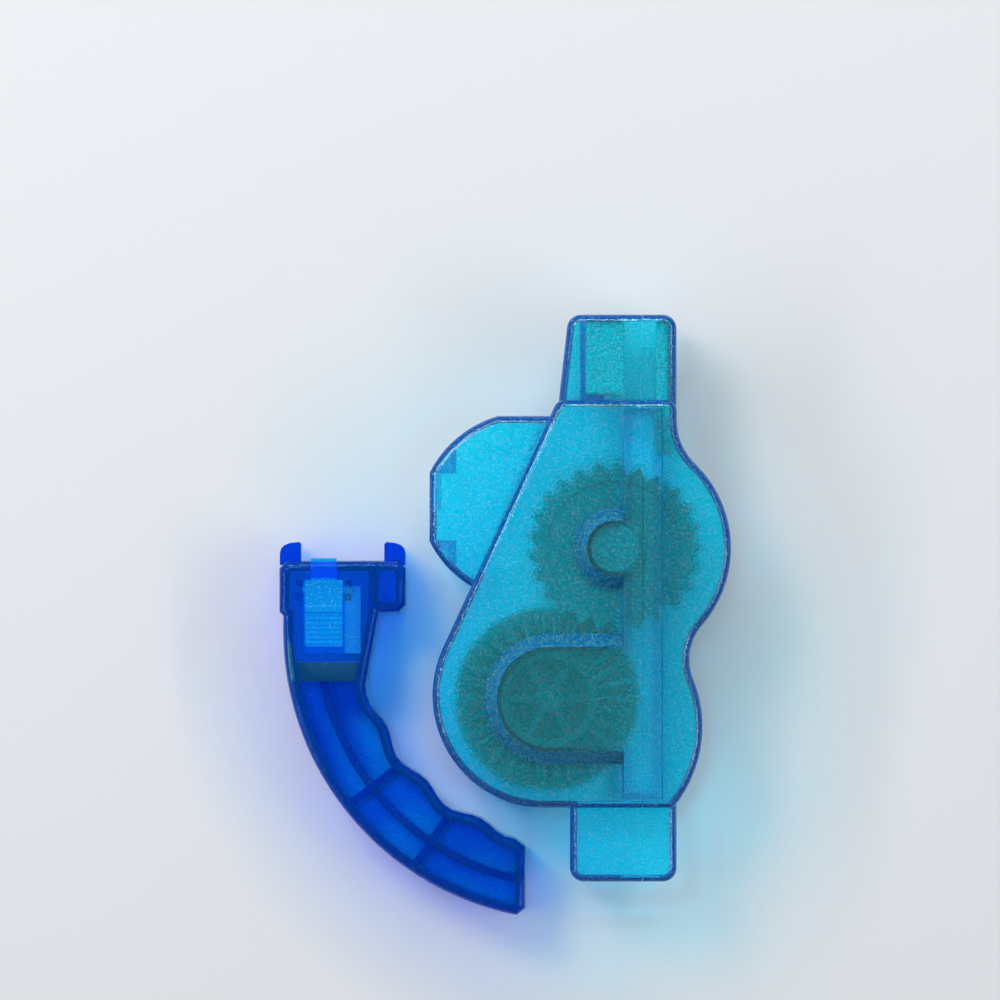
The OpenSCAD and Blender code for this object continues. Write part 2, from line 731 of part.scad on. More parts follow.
// Ribs in the channel: one along it and one across it at each finger wave. The inner wall also
// runs on through the head.
mid_rib_share = 0.57;
mid_rib_r = grip_in_r + mid_rib_share * (grip_out_r - grip_in_r);
mid_rib_h = 13;
mid_rib_start = asin((grip_c[1] - slope_end - plate_t / 2) / mid_rib_r);
mid_rib_end = acos((grip_end_inset + grip_wall / 2) / mid_rib_r);
cross_rib_h = 11;
cross_places_share = [0.6, 1.6];
cross_angles = wave_first * [1, 1] + wave_pitch * cross_places_share;
module ribs() {
    translate([grip_c[0], grip_c[1], plate_t / 2]) {
        rotate(180 + mid_rib_start) rotate_extrude(angle = mid_rib_end - mid_rib_start)
            translate([mid_rib_r - rib_t / 2, 0]) square([rib_t, mid_rib_h]);
        for (a = cross_angles)
            rotate(180 + a) translate([wave_r(a) + grip_wall / 2, -rib_t / 2, 0])
                cube([grip_out_r - wave_r(a) - grip_wall, rib_t, cross_rib_h]);
    }
    translate([throat_right - grip_wall, head_bottom, plate_t / 2])
        cube([grip_wall, head_h - grip_wall / 2, grip_thick - plate_t]);
}

// The marks of the ejector pins: two rows of shallow rounds in the channel's floor
mark_r = 1.5;
mark_deep = 0.3;
mark_angles = [18.6, 32.8, 51.8, 70.2];
module ejector_marks() {
    for (a = mark_angles)
        for (r = [(wave_r(a) + grip_wall + mid_rib_r) / 2, (mid_rib_r + grip_out_r - grip_wall) / 2])
            translate([on_grip(r, a)[0], on_grip(r, a)[1], plate_t - mark_deep])
                cylinder(h = 2 * mark_deep, r = mark_r);
}

// The window in the front plate that the latch sits in, with a shallow relief beside it
pad_play = 0.5;
window_inset = 5.4;
window_rim = 4;
window_left = head_left + window_inset;
window_right = window_left + pad_w + 2 * pad_play;
window_top = head_top - window_rim;
pad_rise = 1.6;
pad_top = head_bottom + pad_rise;
pad_bottom = pad_top - pad_len;
pad_travel = 1.6;
pivot_v = pad_top + pivot_rise;
pivot_z = grip_thick - plate_t - pivot_r;
pad_left = window_left + pad_play;
relief_w = 3.7;
relief_deep = 0.8;
relief_drop = 1.8;
ear_t = 1.6;
ear_wall = 1.5;
ear_r = pivot_r + ear_wall;
module window() {
    low = pad_bottom - pad_travel;
    translate([window_left, low, grip_thick - plate_t - over])
        cube([window_right - window_left, window_top - low, plate_t + 2 * over]);
    translate([window_right - over, low, grip_thick - relief_deep])
        cube([relief_w + over, window_top - relief_drop - low, relief_deep + over]);
}

module ears() {
    for (u = [window_left - ear_t, window_right])
        translate([u, pivot_v, 0]) {
            translate([0, 0, pivot_z]) rotate([0, 90, 0]) cylinder(h = ear_t, r = ear_r);
            translate([0, -ear_r, pivot_z])
                cube([ear_t, 2 * ear_r, grip_thick - (plate_t + relief_deep) / 2 - pivot_z]);
        }
}

// The two jaws, each rounded off on its outer side
jaw_shape_share = [[1, 0.4], [0.94, 0.64], [0.8, 0.82], [0.55, 0.94], [0.1, 1], [0, 0.9]];
module jaws() {
    for (side = [-1, 1])
        translate([(head_left + head_right) / 2, head_top - over, grip_thick / 2 - jaw_half])
            linear_extrude(2 * jaw_half) polygon(concat(
                [[side * jaw_gap / 2, 0], [side * (head_w / 2 - seat_gap), 0]],
                [for (s = jaw_shape_share)
                    [side * (jaw_gap / 2 + (jaw_t - seat_gap) * s[0]), over + jaw_h * s[1]]]
            ));
}

// The handle's shell: hollow, with a closed back, open at the front below the plate
module handle_shell() {
    difference() {
        union() {
            translate([0, 0, grip_thick / 2]) pillow(handle_outline, grip_thick / 2, handle_edge);
            jaws();
        }
        translate([0, 0, plate_t]) linear_extrude(grip_thick - 2 * plate_t) polygon(handle_inside);
        translate([0, 0, grip_thick / 2]) linear_extrude(grip_thick) intersection() {
            polygon(handle_inside);
            translate([head_left, plate_end - reach]) square(reach);
        }
    }
}

module handle() {
    color([0, 0.25, 0.8, 0.7]) translate([0, 0, -mid_z]) difference() {
        union() {
            difference() {
                handle_shell();
                window();
            }
            plate_slope();
            ribs();
            ears();
        }
        ejector_marks();
        translate([window_left - ear_t - over, pivot_v, pivot_z]) rotate([0, 90, 0])
            cylinder(h = window_right - window_left + 2 * (ear_t + over), r = pivot_r + run_gap);
        translate([pad_left + (pad_w - nose_w) / 2 - seat_play, head_top - 2 * grip_wall,
            grip_thick / 2 + nose_low - seat_play])
            cube([nose_w + 2 * seat_play, 3 * grip_wall, nose_t + 4 * seat_play]);
    }
}

// The latch: a pad with a plain band above its ridges, a stem over two pivot stubs, and a nose
// through the head's top wall
ridge_h = 0.9;
ridge_shape_share = [[0, 0], [-0.15, 0.9], [-0.3, 1], [-0.45, 0.9], [-0.6, 0]];
band_w = 1.9;
stem_step = 0.3;
pad_under = 1;
module handle_latch() {
    under = grip_thick - plate_t - pad_under;
    ridge_pitch = (pad_len - band_w) / ridges;
    stem_z = grip_thick - stem_step;
    color([0, 0.3, 0.85, 0.75]) translate([pad_left, 0, -mid_z]) {
        rotate([90, 0, 90]) linear_extrude(pad_w) polygon(concat(
            [[pad_bottom, under], [pivot_v + ear_r, under], [pivot_v + ear_r, stem_z], [pad_top, stem_z],
                [pad_top - stem_step, grip_thick], [pad_top - band_w + stem_step, grip_thick],
                [pad_top - band_w, grip_thick - ridge_h]],
            [for (i = [0:ridges - 1]) for (k = ridge_shape_share) if (i > 0 || k[0] < 0)
                [pad_top - band_w + (k[0] - i) * ridge_pitch, grip_thick + (k[1] - 1) * ridge_h]],
            [[pad_bottom, grip_thick - ridge_h]]
        ));
        translate([(pad_w - nose_w) / 2, pivot_v, grip_thick / 2 + nose_low])
            cube([nose_w, head_top + nose_rise - pivot_v, nose_t]);
        translate([pad_w / 2, pivot_v, pivot_z]) rotate([0, 90, 0])
            cylinder(h = pad_w + 2 * pad_play + 2 * ear_t - 2 * seat_gap, r = pivot_r, center = true);
    }
}

// The layout: the whole stands on its lowest face, centred under its own box
layout_low = grip_c[1] - grip_out_r;
layout = [-(head_left + side_c[0] + bulge_one_r) / 2, -(layout_low + top_neck_end) / 2, mid_z];
translate(layout) tank();
translate(layout) lid();
translate(layout) lower_sponge();
translate(layout) upper_sponge();
translate(layout) side_disc_front();
translate(layout) side_disc_back();
translate(layout) wheel_spindle();
translate(layout) side_bristles_front();
translate(layout) side_bristles_back();
translate(layout) drum_core();
translate(layout) drum_cap_front();
translate(layout) drum_cap_back();
translate(layout) drum_bristles();
translate(layout) handle();
translate(layout) handle_latch();
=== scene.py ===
import math

import bmesh
import bpy
import numpy as np
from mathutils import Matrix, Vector


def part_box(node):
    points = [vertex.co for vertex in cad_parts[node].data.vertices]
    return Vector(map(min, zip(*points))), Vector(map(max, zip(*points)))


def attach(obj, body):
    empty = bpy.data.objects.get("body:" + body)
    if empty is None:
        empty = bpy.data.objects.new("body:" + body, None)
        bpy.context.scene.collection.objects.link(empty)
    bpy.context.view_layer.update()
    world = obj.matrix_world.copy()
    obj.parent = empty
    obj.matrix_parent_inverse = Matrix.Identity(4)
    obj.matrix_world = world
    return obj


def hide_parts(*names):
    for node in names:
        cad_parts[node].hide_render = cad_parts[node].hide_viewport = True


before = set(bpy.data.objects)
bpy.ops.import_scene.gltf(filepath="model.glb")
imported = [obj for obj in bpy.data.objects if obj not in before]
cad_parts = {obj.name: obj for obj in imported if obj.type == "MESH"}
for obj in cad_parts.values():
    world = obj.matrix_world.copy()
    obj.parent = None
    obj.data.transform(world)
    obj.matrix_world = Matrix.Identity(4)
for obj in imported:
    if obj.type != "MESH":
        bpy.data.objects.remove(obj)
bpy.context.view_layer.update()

# The tank: the lower half of the housing, with the reservoir lobe, two wheel pockets and half of
# each neck. It is injection moulded in one shot from translucent blue polycarbonate, and the
# mould's spark eroded faces leave a fine frost, whose glints are painted highlights: pale specks
# mixed into the plastic's colour all over it.


def stand(name, data):
    """A new object of the scene that shows this data."""
    made = bpy.data.objects.new(name, data)
    bpy.context.scene.collection.objects.link(made)
    return made


parting_x = 0.03184  # the plane on which the housing's two halves meet


def moulding(name, node, body, crease=32.0, edge=0.0001, levels=()):
    """A merged copy of a CAD node, which it replaces: corners within a hundredth of a millimetre
    become one, flat neighbours become one face, and an edge that turns more than crease degrees is
    rounded by edge metres. Each of levels is a height and the wider radius of the edges that lie in
    that height and away from the parting plane. With levels, the roundings take the piece's third
    material, which on the housing is a deeper blue of painted shade."""
    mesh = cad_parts[node].data.copy()
    mesh.name = name
    if "custom_normal" in mesh.attributes:
        mesh.attributes.remove(mesh.attributes["custom_normal"])
    form = bmesh.new()
    form.from_mesh(mesh)
    bmesh.ops.remove_doubles(form, verts=form.verts, dist=1e-5)
    flat = math.radians(0.6)
    bmesh.ops.dissolve_limit(form, angle_limit=flat, verts=form.verts, edges=form.edges)
    form.to_mesh(mesh)
    form.free()
    mesh.polygons.foreach_set("use_smooth", np.ones(len(mesh.polygons), bool))
    mesh.set_sharp_from_angle(angle=math.radians(crease))
    piece = stand(name, mesh)

    corners, ends = np.empty(3 * len(mesh.vertices)), np.empty(2 * len(mesh.edges), int)
    sharp = np.zeros(len(mesh.edges), bool)
    mesh.vertices.foreach_get("co", corners)
    mesh.edges.foreach_get("vertices", ends)
    mesh.attributes["sharp_edge"].data.foreach_get("value", sharp)
    at = corners.reshape(-1, 3)[ends.reshape(-1, 2)]
    away = (np.abs(at[..., 0] - parting_x) > 0.0003).any(1)
    radius = np.where(sharp, edge, 0.0)
    for height, wider in levels:
        radius[sharp & away & (np.abs(at[..., 2] - height) < 5e-5).all(1)] = wider
    weights = mesh.attributes.new("bevel_weight_edge", "FLOAT", "EDGE")
    weights.data.foreach_set("value", radius / radius.max())
    rounding = piece.modifiers.new("edge", "BEVEL")
    rounding.width = radius.max()
    rounding.segments = 3 if levels else 2
    rounding.limit_method = "WEIGHT"
    # On the housing the roundings are painted shade: they take its third, deeper blue material.
    rounding.material = 2 if levels else -1
    rounding.harden_normals = True
    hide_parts(node)
    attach(piece, body)
    return piece


def start_material(name):
    """A new material and its node tree, which begins as a Principled shader and the output."""
    made = bpy.data.materials.new(name)
    made.use_nodes = True
    return made, made.node_tree


def place(tree, kind, settings=None, inputs=None):
    """Adds one shader node: settings are its own choices, each input is a plain value or a link."""
    made = tree.nodes.new(kind)
    for key, value in (settings or {}).items():
        setattr(made, key, value)
    for key, value in (inputs or {}).items():
        if isinstance(value, bpy.types.NodeSocket):
            tree.links.new(value, made.inputs[key])
        else:
            made.inputs[key].default_value = value
    return made


def spark_eroded():
    """The frost of a spark eroded mould: glints are the peaks of a fine noise, which clear plastic
    paints into its colour as painted highlights and solid plastic as flecks of its own colour; the
    height is that noise with a coarser one, and the drift is a slow noise over centimetres."""
    group = bpy.data.node_groups.new("spark_eroded", "ShaderNodeTree")
    for name, start in (("Glint Size", 2400.0), ("Grain Size", 1300.0), ("Glint Share", 0.6)):
        choice = group.interface.new_socket(name, in_out="INPUT", socket_type="NodeSocketFloat")
        choice.default_value = start
    for name in ("Painted Glints And Flecks", "Height", "Drift"):
        group.interface.new_socket(name, in_out="OUTPUT", socket_type="NodeSocketFloat")
    given = place(group, "NodeGroupInput").outputs
    where = place(group, "ShaderNodeTexCoord").outputs["Object"]
    fine = place(group, "ShaderNodeTexNoise", None, {"Vector": where, "Scale": given["Glint Size"],
        "Detail": 1.5, "Roughness": 0.6}).outputs["Fac"]
    coarse = place(group, "ShaderNodeTexNoise", None, {"Vector": where,
        "Scale": given["Grain Size"], "Detail": 2.0}).outputs["Fac"]
    slow = place(group, "ShaderNodeTexNoise", None, {"Vector": where, "Scale": 70.0, "Detail": 3.0})
    glint_top = place(group, "ShaderNodeMath", {"operation": "ADD"},
        {0: given["Glint Share"], 1: 0.12}).outputs[0]
    glints = place(group, "ShaderNodeMapRange", {"interpolation_type": "SMOOTHSTEP"},
        {"Value": fine, "From Min": given["Glint Share"], "From Max": glint_top})
    height = place(group, "ShaderNodeMath", {"operation": "ADD"}, {0: fine, 1: coarse})
    out = place(group, "NodeGroupOutput")
    for name, socket in (("Painted Glints And Flecks", glints.outputs[0]), ("Height", height.outputs[0]),
            ("Drift", slow.outputs["Fac"])):
        group.links.new(socket, out.inputs[name])
    return group


frost = spark_eroded()


def clear_plastic(name, tint, painted_glint, through, passing, depth, density, rough, grain, share, shine):
    """Translucent moulded plastic: tint colours its frosted face and painted_glint is the pale
    colour of the painted highlights that the frost's glints mix into it, through is how much light
    enters, passing is the share of lamp light that crosses each face, and what crosses the plastic
    is taken up with depth by the absorption density times 1 - depth. rough is the range of its
    roughness, grain and share are the frost's strength and start, and shine tints its reflections."""
    made, tree = start_material(name)
    tree.nodes.clear()
    skin = place(tree, "ShaderNodeGroup", {"node_tree": frost}, {"Glint Share": share})
    # Painted highlights: where the frost's glints peak, the pale colour is mixed into the base
    # colour.
    colour = place(tree, "ShaderNodeMix", {"data_type": "RGBA"}, {0: skin.outputs["Painted Glints And Flecks"],
        6: (*tint, 1), 7: (*painted_glint, 1)}).outputs[2]
    roughness = place(tree, "ShaderNodeMapRange", None, {"Value": skin.outputs["Drift"],
        "From Min": 0.35, "From Max": 0.65, "To Min": rough[0], "To Max": rough[1]}).outputs[0]
    relief = place(tree, "ShaderNodeBump", None, {"Height": skin.outputs["Height"],
        "Strength": grain, "Distance": 0.0002})
    face = place(tree, "ShaderNodeBsdfPrincipled", None, {"Base Color": colour,
        "Roughness": roughness, "Normal": relief.outputs[0], "Transmission Weight": through,
        "IOR": 1.49, "Specular Tint": (*shine, 1)})
    inside = place(tree, "ShaderNodeVolumeAbsorption", None, {"Color": (*depth, 1),
        "Density": density})
    lamp_light = place(tree, "ShaderNodeBsdfTransparent", None, {"Color": (*passing, 1)})
    rays = place(tree, "ShaderNodeLightPath").outputs["Is Shadow Ray"]
    both = place(tree, "ShaderNodeMixShader", None, {0: rays, 1: face.outputs[0],
        2: lamp_light.outputs[0]})
    out = place(tree, "ShaderNodeOutputMaterial")
    tree.links.new(both.outputs[0], out.inputs["Surface"])
    tree.links.new(inside.outputs[0], out.inputs["Volume"])
    return made


housing_passing, housing_density = (0.1, 0.98, 0.97), 560.0
housing_blue = clear_plastic("housing_blue", tint=(0.01, 0.95, 0.985), painted_glint=(0.75, 0.98, 1.0),
    through=0.93, passing=housing_passing, depth=(0.0, 0.885, 0.97), density=housing_density,
    rough=(0.05, 0.13), grain=0.25, share=0.5, shine=(0.8, 0.97, 1.0))
# The two deeper blues are painted shade in the same plastic: housing_slope_shade on the housing's
# slanting faces, housing_wall_shade on the walls of its rim and pockets and on its roundings.
housing_slope_shade = clear_plastic("housing_slope_shade", tint=(0.0, 0.22, 1.0), painted_glint=(0.3, 0.8, 1.0),
    through=0.7, passing=housing_passing, depth=(0.0, 0.87, 0.985), density=housing_density,
    rough=(0.04, 0.1), grain=0.2, share=0.56, shine=(0.1, 0.4, 1.0))
housing_wall_shade = clear_plastic("housing_wall_shade", tint=(0.0, 0.38, 1.0), painted_glint=(0.25, 1.0, 1.0),
    through=0.74, passing=housing_passing, depth=(0.0, 0.885, 0.985), density=housing_density,
    rough=(0.06, 0.15), grain=0.25, share=0.5, shine=(0.1, 0.7, 1.0))
housing_plastics = (housing_blue, housing_slope_shade, housing_wall_shade)

body_back, body_front, rim_front = 0.003, 0.034, 0.037


def face_tones(piece, plastics, choose):
    """Gives each face of a piece one of its plastics, which are lit and shaded tones of one
    plastic:
    choose has the faces' centres and normals, and returns which. Edges, ribs and walls are painted
    a deeper blue, a painted shade for the light that fades along their depth."""
    mesh = piece.data
    centre, normal = np.empty(3 * len(mesh.polygons)), np.empty(3 * len(mesh.polygons))
    mesh.polygons.foreach_get("center", centre)
    mesh.polygons.foreach_get("normal", normal)
    mesh.materials.clear()
    for plastic in plastics:
        mesh.materials.append(plastic)
    tone = choose(centre.reshape(-1, 3), normal.reshape(-1, 3))
    mesh.polygons.foreach_set("material_index", tone)


def housing_tones(centre, normal):
    """The housing's faces are 0, its slanting edges 1, and the walls of its rim and pockets 2; 1
    and 2 are painted shade in a deeper blue.
    """
    level = np.abs(normal[:, 2])
    raised = (centre[:, 2] > body_front + 0.0001) | (centre[:, 2] < body_back - 0.0001)
    slanting = (level < 0.9) & (level > 0.2)
    return np.where(raised & (level < 0.9), 2, np.where(slanting, 1, 0))


rim_radius, pocket_radius = 0.0012, 0.0008
pocket_edges = ((rim_front, rim_radius), (body_front, pocket_radius), (body_back, pocket_radius),
    (0.0, rim_radius))
tank = moulding("tank_moulding", "tank", "housing", edge=0.0003,
    levels=pocket_edges)
face_tones(tank, housing_plastics, housing_tones)

# The lid: the other half of the housing, with its two bulges over the wheels. It is moulded from
# the same blue polycarbonate and is located by two pairs of lugs in the tank's necks.
lid = moulding("lid_moulding", "lid", "lid", edge=0.0003, levels=pocket_edges)
face_tones(lid, housing_plastics, housing_tones)

# The sponges: two blocks of grey open-cell foam in the top neck, cut square and pressed in by hand.
# They wipe the chain as it leaves.


def foam_block(name, low, high, corner, cell, pores, seed):
    """A rounded block: each point of a box's six face grids is drawn in to the nearest point of the
    box less its corner radius, and set that radius away from it along the line between them. Pores
    are dents, as deep as a bell curve of the distance to the nearest of a seeded set of centres."""
    low, high = np.array(low), np.array(high)
    middle, half = (low + high) / 2, (high - low) / 2
    points, faces, start = [], [], 0
    for axis in range(3):
        a, b = (axis + 1) % 3, (axis + 2) % 3
        na, nb = (max(4, int(round(2 * half[k] / cell))) for k in (a, b))
        s, t = np.meshgrid(np.linspace(-1, 1, na + 1), np.linspace(-1, 1, nb + 1), indexing="ij")
        for side in (-1, 1):
            grid = np.empty((na + 1, nb + 1, 3))
            grid[..., axis] = side * half[axis]
            grid[..., a], grid[..., b] = s * half[a], t * half[b]
            k = np.arange((na + 1) * (nb + 1)).reshape(na + 1, nb + 1) + start
            quads = np.stack([k[:-1, :-1], k[1:, :-1], k[1:, 1:], k[:-1, 1:]], -1).reshape(-1, 4)
            faces.append(quads if side > 0 else quads[:, ::-1])
            points.append(grid.reshape(-1, 3))
            start += k.size
    points = np.concatenate(points)
    core = np.clip(points, corner - half, half - corner)
    away = points - core
    away /= np.maximum(np.linalg.norm(away, axis=1, keepdims=True), 1e-9)
    chance = np.random.default_rng(seed)
    centres = points[chance.integers(0, len(points), pores)]
    pore_width, pore_depth = 0.9 * cell, 0.8 * cell
    depth = np.zeros(len(points))
    for part in np.array_split(np.arange(pores), 8):
        gap = np.linalg.norm(points[:, None, :] - centres[None, part, :], axis=2)
        depth = np.maximum(depth, np.exp(-((gap / pore_width) ** 2)).max(1))
    points = core + away * (corner - pore_depth * depth[:, None]) + middle
    mesh = bpy.data.meshes.new(name)
    mesh.from_pydata(points.tolist(), [], np.concatenate(faces).tolist())
    form = bmesh.new()
    form.from_mesh(mesh)
    bmesh.ops.remove_doubles(form, verts=form.verts, dist=1e-6)
    form.to_mesh(mesh)
    form.free()
    mesh.polygons.foreach_set("use_smooth", np.ones(len(mesh.polygons), bool))
    return stand(name, mesh)


def foam():
    """Open-cell foam: a cell pattern paints shade into the cells, darkest in their hollows, and
    leaves the struts between them lighter.
    """
    made, tree = start_material("grey_foam")
    face = tree.nodes["Principled BSDF"]
    where = place(tree, "ShaderNodeTexCoord").outputs["Object"]
    cells = place(tree, "ShaderNodeTexVoronoi", None, {"Vector": where,
        "Scale": 1900.0}).outputs["Distance"]
    # Painted shade: the cells' hollows take the dark colour and the struts the pale one.
    colour = place(tree, "ShaderNodeMix", {"data_type": "RGBA"}, {0: cells,
        6: (0.18, 0.165, 0.18, 1), 7: (0.5, 0.46, 0.5, 1)}).outputs[2]
    relief = place(tree, "ShaderNodeBump", None, {"Height": cells, "Strength": 0.8,
        "Distance": 0.0003})
    tree.links.new(colour, face.inputs["Base Color"])
    tree.links.new(relief.outputs[0], face.inputs["Normal"])
    face.inputs["Roughness"].default_value = 0.95
    face.inputs["Sheen Weight"].default_value = 0.2
    return made


grey_foam = foam()
for name, node, body, seed in (("lower_foam", "lower_sponge", "housing", 4),
        ("upper_foam", "upper_sponge", "lid", 9)):
    low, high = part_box(node)
    block = foam_block(name, low, high, corner=0.0006, cell=0.00033, pores=900, seed=seed)
    block.data.materials.append(grey_foam)
    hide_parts(node)
    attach(block, body)

# The side brush wheel: two toothed discs moulded in grey nylon, snapped on a thin spindle, each
# with three rings of bristle tufts that face the chain. The chain turns it by its teeth.


def solid_plastic(name, colour, fleck, rough, flow):
    """Opaque moulded plastic: its colour drifts towards fleck by a fine noise, and its gloss drifts
    with slow flow marks, which also raise it by a few hundredths of a millimetre."""
    made, tree = start_material(name)
    face = tree.nodes["Principled BSDF"]
    skin = place(tree, "ShaderNodeGroup", {"node_tree": frost}, {"Glint Size": 1500.0,
        "Grain Size": flow, "Glint Share": 0.5})
    tone = place(tree, "ShaderNodeMix", {"data_type": "RGBA"}, {0: skin.outputs["Painted Glints And Flecks"],
        6: (*colour, 1), 7: (*fleck, 1)}).outputs[2]
    roughness = place(tree, "ShaderNodeMapRange", None, {"Value": skin.outputs["Drift"],
        "From Min": 0.3, "From Max": 0.7, "To Min": rough[0], "To Max": rough[1]}).outputs[0]
    relief = place(tree, "ShaderNodeBump", None, {"Height": skin.outputs["Height"],
        "Strength": 0.25, "Distance": 0.0002})
    tree.links.new(tone, face.inputs["Base Color"])
    tree.links.new(roughness, face.inputs["Roughness"])
    tree.links.new(relief.outputs[0], face.inputs["Normal"])
    return made


def coat(piece, material):
    """Gives a whole piece one material."""
    piece.data.materials.clear()
    piece.data.materials.append(material)


wheel_grey = solid_plastic("wheel_grey", colour=(0.075, 0.07, 0.085), fleck=(0.17, 0.155, 0.18),
    rough=(0.35, 0.5), flow=500.0)
for name, node in (("toothed_disc_front", "side_disc_front"),
        ("toothed_disc_back", "side_disc_back"), ("spindle", "wheel_spindle")):
    coat(moulding(name, node, "side_wheel"), wheel_grey)


def bristle_tufts(name, roots, aims, length, splay, thick, each, backing, seed):
    """Filaments in tufts. Filament k of a tuft starts at its root plus a small spread, and its
    point at the share t of its length is root + length t (aim + splay t side), a curve that opens
    outwards. It is drawn back along the aim by as much as its lean would lengthen it. Each has five
    sides, thins towards its end and closes in a point. The backing's mesh goes with it."""
    chance = np.random.default_rng(seed)
    count, sides, spread = len(roots) * each, 5, 0.00045
    root, aim = np.repeat(roots, each, 0), np.repeat(aims, each, 0)
    helper = np.where(np.abs(aim[:, 2:]) > 0.7, [[1.0, 0, 0]], [[0, 0, 1.0]])
    one = np.cross(aim, helper)
    one /= np.linalg.norm(one, axis=1, keepdims=True)
    two = np.cross(aim, one)
    turn = chance.uniform(0, 2 * np.pi, count)
    off = np.sqrt(chance.uniform(0, 1, count))
    side = np.cos(turn)[:, None] * one + np.sin(turn)[:, None] * two
    start = root + side * (off * spread)[:, None]
    reach = length * chance.uniform(0.93, 1.0, count)
    lean = splay * off
    t = np.array([0.0, 0.35, 0.7, 1.0])
    shape = np.array([1.0, 1.0, 0.9, 0.55])
    spine = start[:, None, :] + reach[:, None, None] * t[:, None] * (
        aim[:, None, :] + (lean[:, None] * t)[..., None] * side[:, None, :])
    drawn = reach * (np.sqrt(1 - np.minimum(lean, 0.9) ** 2) - 1)
    spine += (aim * drawn[:, None])[:, None, :] * t[:, None]
    round_by = np.arange(sides) * 2 * np.pi / sides
    ring = (np.cos(round_by)[:, None] * one[:, None, None, :]
        + np.sin(round_by)[:, None] * two[:, None, None, :])
    tube = spine[:, :, None, :] + thick * shape[:, None, None] * ring
    tip = spine[:, -1] + aim * thick
    spans, end = len(t) - 1, len(t) * sides
    points = np.concatenate([tube.reshape(count, end, 3), tip[:, None, :]], 1)
    base = (np.arange(count) * (end + 1))[:, None]
    j = np.arange(sides)
    level = np.repeat(np.arange(spans), sides) * sides
    i, k = np.tile(j, spans), np.tile((j + 1) % sides, spans)
    quads = np.stack([level + i, level + k, level + k + sides, level + i + sides], -1)
    quads = (base[..., None] + quads).reshape(-1, 4)
    last = spans * sides
    caps = np.stack([last + j, last + (j + 1) % sides, np.full(sides, end)], -1)
    caps = (base[..., None] + caps).reshape(-1, 3)
    band, band_faces = backing
    faces = (quads + len(band)).tolist() + (caps + len(band)).tolist() + band_faces
    mesh = bpy.data.meshes.new(name)
    mesh.from_pydata(np.concatenate([band, points.reshape(-1, 3)]).tolist(), [], faces)
    mesh.polygons.foreach_set("use_smooth", np.ones(len(mesh.polygons), bool))
    mesh.set_sharp_from_angle(angle=math.radians(50))
    return stand(name, mesh)


def ring_band(centre, profile, steps):
    """A closed profile of radius and height, carried round the wheel's axis: the point at angle a
    is the centre plus radius (cos a, sin a) and the height along Z."""
    a = np.arange(steps) * 2 * np.pi / steps
    profile = np.array(profile)
    n = len(profile)
    grid = np.stack([np.outer(np.cos(a), profile[:, 0]) + centre[0],
        np.outer(np.sin(a), profile[:, 0]) + centre[1],
        np.tile(profile[:, 1], (steps, 1))], -1).reshape(-1, 3)
    k, m = np.meshgrid(np.arange(steps), np.arange(n), indexing="ij")
    k2, m2 = (k + 1) % steps, (m + 1) % n
    faces = np.stack([k * n + m, k2 * n + m, k2 * n + m2, k * n + m2], -1).reshape(-1, 4)
    return grid, faces.tolist()


def around(rows, spots):
    """The angles of a wheel's tufts, row by row: each second row is turned by half a tuft."""
    shift = 0.5 * (np.arange(rows) % 2)[:, None]
    return (np.arange(spots)[None, :] + shift) * 2 * np.pi / spots


def nylon(name, root_colour, tip_colour):
    """Nylon filament: its colour drifts between two tones by a noise a few filaments wide."""
    made, tree = start_material(name)
    face = tree.nodes["Principled BSDF"]
    where = place(tree, "ShaderNodeTexCoord").outputs["Object"]
    drift = place(tree, "ShaderNodeTexNoise", None, {"Vector": where, "Scale": 900.0,
        "Detail": 2.0}).outputs[0]
    tone = place(tree, "ShaderNodeMix", {"data_type": "RGBA"}, {0: drift,
        6: (*root_colour, 1), 7: (*tip_colour, 1)}).outputs[2]
    tree.links.new(tone, face.inputs["Base Color"])
    face.inputs["Roughness"].default_value = 0.45
    return made


filament_grey = nylon("filament_grey", (0.06, 0.054, 0.062), (0.25, 0.225, 0.25))
end_gap = 0.0002
low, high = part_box("wheel_spindle")
side_axis = (np.array(low) + np.array(high)) / 2
slice_t, ring_in, ring_out = 0.0006, 0.0082, 0.0156
rows, spots = 3, 22
for name, node, way in (("side_tufts_front", "side_bristles_front", -1),
        ("side_tufts_back", "side_bristles_back", 1)):
    low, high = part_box(node)
    back, front = (high[2], low[2]) if way < 0 else (low[2], high[2])
    floor_z = back + way * slice_t
    radius = ring_in + (ring_out - ring_in) * (np.arange(rows) + 0.5) / rows
    a = around(rows, spots)
    roots = np.stack([side_axis[0] + radius[:, None] * np.cos(a),
        side_axis[1] + radius[:, None] * np.sin(a), np.full(a.shape, floor_z)], -1).reshape(-1, 3)
    aims = np.tile([0.0, 0.0, float(way)], (len(roots), 1))
    under, over = min(back, floor_z), max(back, floor_z)
    band = ring_band(side_axis, [(ring_in, under), (ring_out, under), (ring_out, over),
        (ring_in, over)], 96)
    tufts = bristle_tufts(name, roots, aims, abs(front - floor_z) - end_gap, splay=0.16,
        thick=0.00013, each=20, backing=band, seed=3 - way)
    tufts.data.materials.append(filament_grey)
    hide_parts(node)
    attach(tufts, "side_wheel")

# The drum brush wheel: a tube wound with a sleeve of radial nylon tufts, closed by two spoked caps
# moulded in dark plastic, whose wide journals turn in the tank's pockets.
drum_dark = solid_plastic("drum_dark", colour=(0.028, 0.025, 0.03), fleck=(0.065, 0.058, 0.07),
    rough=(0.35, 0.55), flow=500.0)
for name, node in (("drum_tube", "drum_core"), ("spoked_cap_front", "drum_cap_front"),
        ("spoked_cap_back", "drum_cap_back")):
    coat(moulding(name, node, "drum_wheel"), drum_dark)

